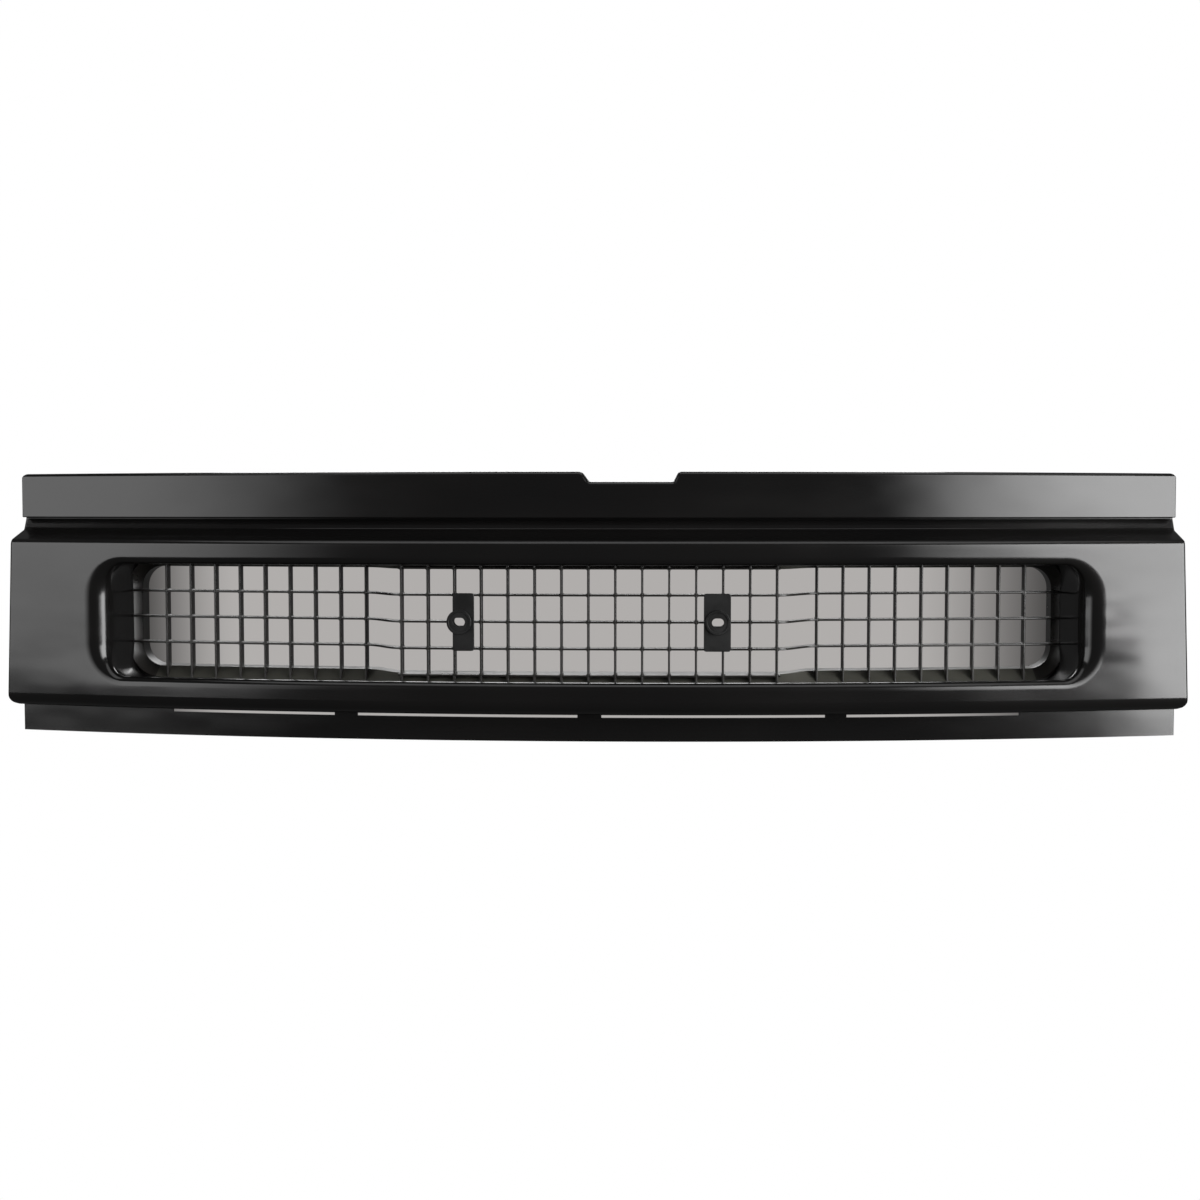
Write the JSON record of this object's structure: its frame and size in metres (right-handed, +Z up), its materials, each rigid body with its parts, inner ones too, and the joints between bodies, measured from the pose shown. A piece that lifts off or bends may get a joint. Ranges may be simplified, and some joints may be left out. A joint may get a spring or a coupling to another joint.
{
  "type": "front grille",
  "caption": "Black moulded front grille: wide band with a rounded recess, stepped square mesh, two slotted badge brackets, top and bottom flanges and rear fixings.",
  "frame": {"origin": "midpoint between the two badge slots, on the front plane of the mesh's centre panel", "axes": "+X to the right seen from the front, +Y into the vehicle, +Z up; the grille's face looks along -Y"},
  "size_m": [1.1272, 0.135, 0.2517],
  "materials": {
    "gloss_moulding": "glossy as-moulded black ABS",
    "mesh_moulding": "satin as-moulded black ABS",
    "bracket_moulding": "fine-grained black nylon",
    "screw_steel": "zinc-plated",
    "clip_steel": "yellow-passivated spring steel",
    "bush_rubber": "moulded rubber",
    "seal_foam": "closed-cell foam",
    "pad_felt": "needled felt"
  },
  "bodies": {
    "root": {"surround": "gloss_moulding", "mesh_insert": "mesh_moulding", "badge_bracket_left": "bracket_moulding", "badge_bracket_right": "bracket_moulding", "bracket_clamp_left": "bracket_moulding", "bracket_clamp_right": "bracket_moulding", "bracket_screws": "screw_steel", "upper_insert_screws": "screw_steel", "lower_insert_screws": "screw_steel", "end_insert_screws": "screw_steel", "lower_spring_clips": "clip_steel", "locating_bush_left": "bush_rubber", "locating_bush_right": "bush_rubber", "top_seal_left": "seal_foam", "top_seal_right": "seal_foam", "bottom_seal": "seal_foam", "end_pad_left": "pad_felt", "end_pad_right": "pad_felt"}
  },
  "joints": []
}
